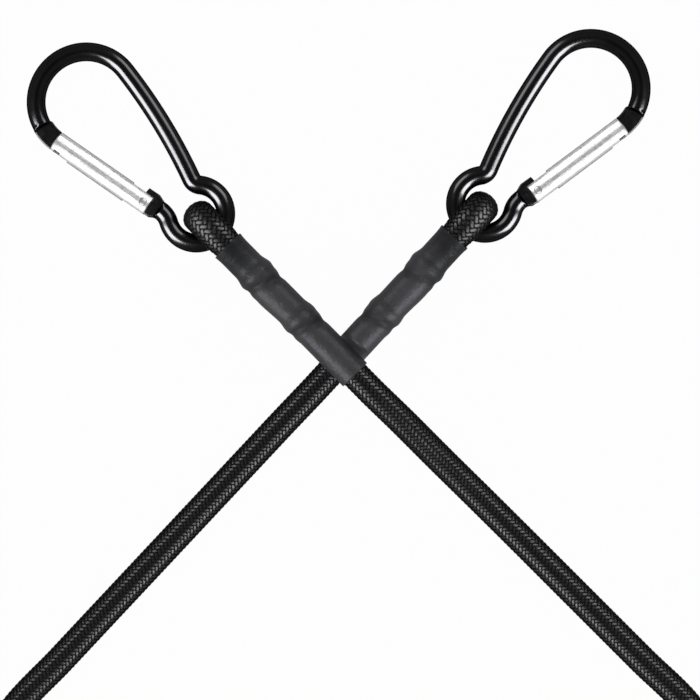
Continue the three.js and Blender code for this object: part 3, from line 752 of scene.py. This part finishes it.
# The tongue's outer and inner edges, (along the gate's axis from the pin, across from it)
TONGUE_OUTER = ((-5.6, 1.96), (-3.71, 2.94), (1.8, 2.94), (2.75, 2.35), (2.9, 1.9))
TONGUE_INNER = (
    (-5.1, -3.93),
    (-2.84, -4.87),
    (1.0, -4.79),
    (1.2, -3.12),
    (1.6, -3.06),
    (2.75, -2.35),
    (2.9, -1.9),
)
TONGUE_PLACES = (-5.1, -4.6, -3.71, -2.84, -2.6, 0.9, 1.0, 1.2, 1.6, 1.8, 2.75, 2.9)
ROD_SIDES = 48
ROUND, PRESSED = 2.0, 10.0  # how square a section is
BLADE_TIP = ((0, 0.6), (0.12, 0.3), (0.35, 0.1), (0.8, 0), (1.6, 0), (2.6, 0))  # along, less reach
NOSE_STATIONS = 12
SHOULDER_EDGE = 0.08  # half the length over which the nose's inner side steps out
STATION_LENGTH = 1.1
STATION_TURN = 3.5  # degrees
PRESS_STATIONS = (0.15, 0.35, 0.6, 0.8, 1)
TONGUE_LEAD = 0.5  # how far before the rod's end the pressing towards the tongue begins


def frame_stations():
    """Stations along the rod from the blade's tip to the tongue's end: centre, way ahead, outer and
    inner reach, half-thickness and squareness."""
    gate_origin = EYE + GATE_OUTWARD * GATE_INSET + GATE_FORWARD * PIN_PLACE
    stations = []
    tip = GATE_REACH - BLADE_REACH
    for place, less in BLADE_TIP:
        centre = gate_origin + GATE_FORWARD * (tip + place)
        outer, inner = BLADE_OUTER - less, BLADE_INNER - less
        stations.append((centre, GATE_FORWARD, outer, inner, FLAT_HALF, PRESSED))
    (nose_centre, nose_radius, nose_start, nose_turn), *rod = rod_arcs()
    length = abs(nose_turn) * nose_radius
    shoulder = BLADE_REACH + SEAT_GAP - (BLADE_REACH - NOSE_COVER)
    places = {*np.linspace(0, length, NOSE_STATIONS), shoulder - SHOULDER_EDGE, shoulder + SHOULDER_EDGE}
    for along in sorted(places):
        angle = nose_start - along / nose_radius
        radial = np.array([math.cos(angle), math.sin(angle)])
        ahead = np.array([radial[1], -radial[0]])
        inner = BLADE_INNER if along < shoulder else NOSE_INNER
        centre = nose_centre + nose_radius * radial
        stations.append((centre, ahead, BLADE_OUTER, inner, FLAT_HALF, PRESSED))
    run = 0.0
    total = sum(abs(turn) * radius for _, radius, _, turn in rod)
    for centre, radius, start, turn in rod:
        piece = abs(turn) * radius
        wanted = max(piece / STATION_LENGTH, math.degrees(abs(turn)) / STATION_TURN)
        steps = max(4, int(wanted))
        shares = set(np.linspace(0, 1, steps + 1)[1:])
        if run == 0:
            shares |= {share * PRESS_LENGTH / piece for share in PRESS_STATIONS}
        for share in sorted(shares):
            along = run + share * piece
            leaving = ease((along - total + TONGUE_LEAD) / PRESS_LENGTH)
            pressed = 1 - ease(along / PRESS_LENGTH) + leaving
            angle = start + share * turn
            radial = np.array([math.cos(angle), math.sin(angle)])
            ahead = np.array([-radial[1], radial[0]]) * (1 if turn > 0 else -1)
            stations.append(
                (
                    centre + radius * radial,
                    ahead,
                    ROD_RADIUS + (BLADE_OUTER - ROD_RADIUS) * pressed,
                    ROD_RADIUS + (NOSE_INNER - ROD_RADIUS) * pressed * (along < total / 2),
                    ROD_RADIUS + (FLAT_HALF - ROD_RADIUS) * pressed,
                    ROUND + (PRESSED - ROUND) * pressed,
                )
            )
        run += piece
    outer_x, outer_y = zip(*TONGUE_OUTER)
    inner_x, inner_y = zip(*TONGUE_INNER)
    for place in TONGUE_PLACES:
        centre = gate_origin + GATE_FORWARD * place - GATE_OUTWARD * TONGUE_INSET
        outer = np.interp(place, outer_x, outer_y) + TONGUE_INSET
        inner = -np.interp(place, inner_x, inner_y) - TONGUE_INSET
        stations.append((centre, GATE_FORWARD, outer, inner, FLAT_HALF, PRESSED))
    return stations


def hook_frame(side):
    angle = np.arange(ROD_SIDES) / ROD_SIDES * 2 * math.pi
    cos, sin = np.cos(angle), np.sin(angle)
    rings, pressed = [], []
    for centre, ahead, outer, inner, thick, square in frame_stations():
        left = np.array([-ahead[1], ahead[0]])
        power = 2 / square
        aside = np.sign(cos) * np.abs(cos) ** power * (outer + inner) / 2 + (outer - inner) / 2
        rise = np.sign(sin) * np.abs(sin) ** power * thick
        flat = centre + left * aside[:, None]
        rings.append(np.column_stack([flat, rise]))
        pressed.append(square > (ROUND + PRESSED) / 2)
    rings = np.array(rings)
    faces = loft_faces(len(rings), ROD_SIDES, False)
    points = to_row(rings.reshape(-1, 3), HOOKS[side])
    mesh = mesh_of(f"{side}_frame", points, faces)
    mesh.materials.append(GLOSS_BLACK)
    mesh.materials.append(PRESSED_BLACK)
    for number, polygon in enumerate(mesh.polygons):
        ring = number // ROD_SIDES
        polygon.material_index = int(ring >= len(rings) - 1 or pressed[ring] or pressed[ring + 1])
    smooth(faced_out(mesh), 38)
    made = object_of(f"{side}_frame", mesh, f"{side}_hook")
    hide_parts(f"{side}_hook_frame")
    return made


# Gate
GATE_SIDES = 96
GATE_RINGS = 24
GATE_END_ROOM = 2.0  # free of rings, before the rounded end
ROUND_RINGS = 7
BORE_SIDES = 32
CUT_OVERRUN = 1.0
CUT_STEP = 0.01  # keeps the walls of two cutters apart


def box_faces(low, high):
    xs, ys, zs = zip(low, high)
    corners = [(x, y, z) for x in xs for y in ys for z in zs]
    faces = [(0, 1, 3, 2), (4, 6, 7, 5), (0, 4, 5, 1), (2, 3, 7, 6), (0, 2, 6, 4), (1, 5, 7, 3)]
    return np.array(corners, float), faces


def carved(name, body, cutters):
    """Cuts each of the cutters out of a closed mesh."""
    base = bpy.data.objects.new(name, faced_out(mesh_of(name, *body)))
    bpy.context.scene.collection.objects.link(base)
    tools = []
    for number, shape in enumerate(cutters):
        tool = bpy.data.objects.new(f"tool_{number}", faced_out(mesh_of(f"tool_{number}", *shape)))
        bpy.context.scene.collection.objects.link(tool)
        cut = base.modifiers.new(f"cut_{number}", "BOOLEAN")
        cut.operation, cut.solver, cut.object = "DIFFERENCE", "EXACT", tool
        tools.append(tool)
    bpy.context.view_layer.update()
    seen = base.evaluated_get(bpy.context.evaluated_depsgraph_get())
    mesh = bpy.data.meshes.new_from_object(seen)
    for spare in [base, *tools]:
        bpy.data.objects.remove(spare)
    return mesh


def gate(side):
    round_in = [
        (GATE_ROUND * (1 - math.cos(turn)), GATE_ROUND * (1 - math.sin(turn)))
        for turn in np.radians(np.linspace(0, 90, ROUND_RINGS))
    ]
    profile = [(-GATE_TAIL, 0.0)]
    profile += [(-GATE_TAIL + back, GATE_RADIUS - less) for back, less in round_in]
    straight = np.linspace(0, GATE_REACH - GATE_END_ROOM, GATE_RINGS)
    profile += [(x, GATE_RADIUS) for x in straight]
    profile += [(GATE_REACH - back, GATE_RADIUS - less) for back, less in reversed(round_in)]
    profile += [(GATE_REACH, 0.0)]
    past = GATE_RADIUS + CUT_OVERRUN
    behind = -GATE_TAIL - CUT_OVERRUN
    bore = [(behind, 0), (behind, BORE_RADIUS), (BORE_DEPTH, BORE_RADIUS), (BORE_DEPTH, 0)]
    pin_x = GATE_REACH - NOSE_PIN_PLACE
    cutters = [
        lathe(bore, BORE_SIDES),
        box_faces((behind, -past, -SLOT_HALF), (HINGE_SLOT_DEPTH, past, SLOT_HALF)),
        box_faces(
            (GATE_REACH - NOSE_SLOT_DEPTH, -NOSE_SLOT_WALL, -SLOT_HALF),
            (GATE_REACH + CUT_OVERRUN, past, SLOT_HALF),
        ),
        box_faces(
            (pin_x - NOSE_PIN_ROOM, -NOSE_SLOT_WALL - CUT_STEP, -NOSE_PIN_HALF),
            (pin_x + NOSE_PIN_ROOM, past + CUT_STEP, NOSE_PIN_HALF),
        ),
    ]
    mesh = carved(f"{side}_gate_bar", lathe(profile, GATE_SIDES), cutters)
    local = np.array([vertex.co for vertex in mesh.vertices])
    mesh.attributes.new("along", "FLOAT_VECTOR", "POINT").data.foreach_set("vector", local.ravel())
    mesh.vertices.foreach_set("co", to_row(local, GATES[side]).ravel())
    smooth(mesh, 30)
    mesh.materials.clear()
    mesh.materials.append(POLISHED)
    made = object_of(f"{side}_gate_bar", mesh, f"{side}_gate")
    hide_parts(f"{side}_gate")
    return made


# A rivet's head, from its crown to its shank, (along, radius)
RIVET_HEAD = (
    (3.82, 0.0),
    (3.80, 0.4),
    (3.72, 0.8),
    (3.58, 1.12),
    (3.4, 1.3),
    (3.22, 1.34),
    (3.2, PIN_RADIUS),
)
RIVET_SIDES = 32


def rivet(side):
    profile = [(-z, r) for z, r in RIVET_HEAD] + list(reversed(RIVET_HEAD))
    points, faces = lathe(profile, RIVET_SIDES)
    points = points[:, [2, 1, 0]]
    mesh = smooth(faced_out(mesh_of(f"{side}_rivet", to_row(points, GATES[side]), faces)), 40)
    mesh.materials.append(STEEL_PIN)
    made = object_of(f"{side}_rivet", mesh, f"{side}_gate")
    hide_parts(f"{side}_gate_rivet")
    return made


pieces = {}
for side in SIDES:
    pieces[side] = {
        "loop": loop_braid(side),
        "sleeve": sleeve(side),
        "frame": hook_frame(side),
        "gate": gate(side),
        "rivet": rivet(side),
    }

# Solids that stay as they are, hidden in the gates and under the sleeves
KEPT = {
    "nose_pin": STEEL_PIN,
    "gate_plunger": STEEL_PIN,
    "gate_spring": STEEL_WIRE,
    "crimp_ring_near_hook": STEEL_WIRE,
    "crimp_ring_near_cord": STEEL_WIRE,
}
for side in SIDES:
    for name, finish in KEPT.items():
        node = frame["nodes"][f"{side}_{name}"]
        node.data.materials.clear()
        node.data.materials.append(finish)


# Floor and light
FLOOR_HALF = 15.0
FLOOR_GLOW = 0.98
FLOOR_MIRRORED = 0.5  # how much of the glow the pieces mirror
DOME_STRENGTH = 0.35
LAMP_DISTANCE = 1.4


def floor():
    half = FLOOR_HALF
    points = [(-half, -half, 0), (half, -half, 0), (half, half, 0), (-half, half, 0)]
    mesh = mesh_of("floor", points, [(0, 1, 2, 3)])
    finish = Finish("floor", Base_Color=(0.9, 0.9, 0.9, 1), Roughness=0.9, Specular_IOR_Level=0.0)
    path = finish.add("LightPath").outputs
    mirrored = finish.math("MULTIPLY", path["Is Glossy Ray"], FLOOR_MIRRORED)
    seen = finish.math("MAXIMUM", path["Is Camera Ray"], mirrored)
    seen = finish.math("MAXIMUM", seen, path["Is Transmission Ray"])
    glow = finish.add("Emission", {"Strength": 1.0})
    mix = finish.add("MixShader", {0: finish.math("MULTIPLY", seen, FLOOR_GLOW)})
    finish.feed(mix.inputs[1], finish.shader.outputs[0])
    finish.feed(mix.inputs[2], glow.outputs[0])
    finish.feed(finish.tree.nodes["Material Output"].inputs["Surface"], mix.outputs[0])
    mesh.materials.append(finish.material)
    made = bpy.data.objects.new("floor", mesh)
    bpy.context.scene.collection.objects.link(made)


def studio():
    """An even white dome, greyer straight above and towards the horizon."""
    world = bpy.data.worlds.new("studio")
    world.use_nodes = True
    bpy.context.scene.world = world
    tree = world.node_tree
    way = tree.nodes.new("ShaderNodeTexCoord")
    parts = tree.nodes.new("ShaderNodeSeparateXYZ")
    ramp = tree.nodes.new("ShaderNodeValToRGB")
    tree.links.new(way.outputs["Generated"], parts.inputs[0])
    tree.links.new(parts.outputs["Z"], ramp.inputs[0])
    tree.links.new(ramp.outputs[0], tree.nodes["Background"].inputs["Color"])
    tree.nodes["Background"].inputs["Strength"].default_value = DOME_STRENGTH
    stops = ramp.color_ramp.elements
    stops[0].position, stops[0].color = 0.0, (0.8, 0.8, 0.8, 1)
    stops[1].position, stops[1].color = 0.25, (1, 1, 1, 1)
    for position, level in ((0.9, 1.0), (0.96, 0.45), (1.0, 0.35)):
        stop = stops.new(position)
        stop.color = (level, level, level, 1)


def gathered(name, members):
    group = bpy.data.collections.new(name)
    for piece in members:
        group.objects.link(piece)
    return group


def lamp(name, azimuth, from_vertical, size, radiance, only):
    """An area lamp aimed at the middle of the view, which lights some pieces alone."""
    data = bpy.data.lights.new(name, "AREA")
    data.shape = "RECTANGLE"
    data.size, data.size_y = size
    data.energy = radiance * math.pi * size[0] * size[1]
    made = bpy.data.objects.new(name, data)
    tilt, turn = math.radians(from_vertical), math.radians(azimuth)
    made.location = (
        LAMP_DISTANCE * math.sin(tilt) * math.cos(turn),
        LAMP_DISTANCE * math.sin(tilt) * math.sin(turn),
        LAMP_DISTANCE * math.cos(tilt),
    )
    made.rotation_euler = (tilt, 0, turn + math.pi / 2)
    bpy.context.scene.collection.objects.link(made)
    made.light_linking.receiver_collection = gathered(f"{name}_lights", only)
    made.light_linking.blocker_collection = gathered(f"{name}_is_blocked_by", only)


def on_side(side, azimuth):
    """An azimuth at the left end, or its mirror image at the right end."""
    return azimuth if side == "left" else 180 - azimuth


floor()
studio()
for side in SIDES:
    hook = [pieces[side]["frame"]]
    bar = (pieces[side]["gate"], pieces[side]["rivet"])
    tube, loop = [pieces[side]["sleeve"]], [pieces[side]["loop"]]
    lamp(f"hook_key_{side}", on_side(side, 203), 54, (0.66, 0.98), 42.0, hook)
    lamp(f"hook_fill_{side}", on_side(side, 57), 55, (0.7, 0.7), 9.0, hook)
    lamp(f"gate_outer_{side}", on_side(side, 235), 60, (1.7, 1.96), 1.25, bar)
    lamp(f"gate_inner_{side}", on_side(side, 55), 60, (1.7, 1.96), 1.25, bar)
    lamp(f"gate_top_{side}", 0, 0, (1.0, 1.0), 0.3, bar)
    lamp(f"end_key_{side}", on_side(side, 224), 57, (0.8, 1.1), 5.5, tube)
    lamp(f"end_fill_{side}", on_side(side, 44), 49, (0.7, 0.8), 3.0, tube)
    lamp(f"end_top_{side}", 0, 0, (0.5, 0.5), 1.7, tube)
    lamp(f"loop_key_{side}", on_side(side, 200), 50, (2.4, 1.1), 8.0, loop)
    lamp(f"loop_fill_{side}", on_side(side, 50), 48, (0.9, 0.7), 8.0, loop)
    lamp(f"loop_tip_{side}", on_side(side, 165), 85, (1.5, 0.8), 7.0, loop)
lamp("step_fill", 225, 82, (0.9, 0.5), 6.0, [pieces["right"]["sleeve"]])
for name, azimuth in (("left", 225), ("right", 315)):
    lamp(f"cord_key_{name}", azimuth, 62, (0.5, 0.75), 13.5, [cord])
    lamp(f"cord_inner_{name}", azimuth, 40, (0.5, 0.24), 4.5, [cord])
    lamp(f"cord_fill_{name}", azimuth - 180, 52, (0.5, 0.42), 14.5, [cord])
# The cord comes down off the crossing at a slope, and shines there towards two lamps of its own.
lamp("slope_key", 251, 68, (0.5, 0.6), 6.0, [cord])
lamp("slope_fill", 14, 58, (0.5, 0.45), 6.0, [cord])
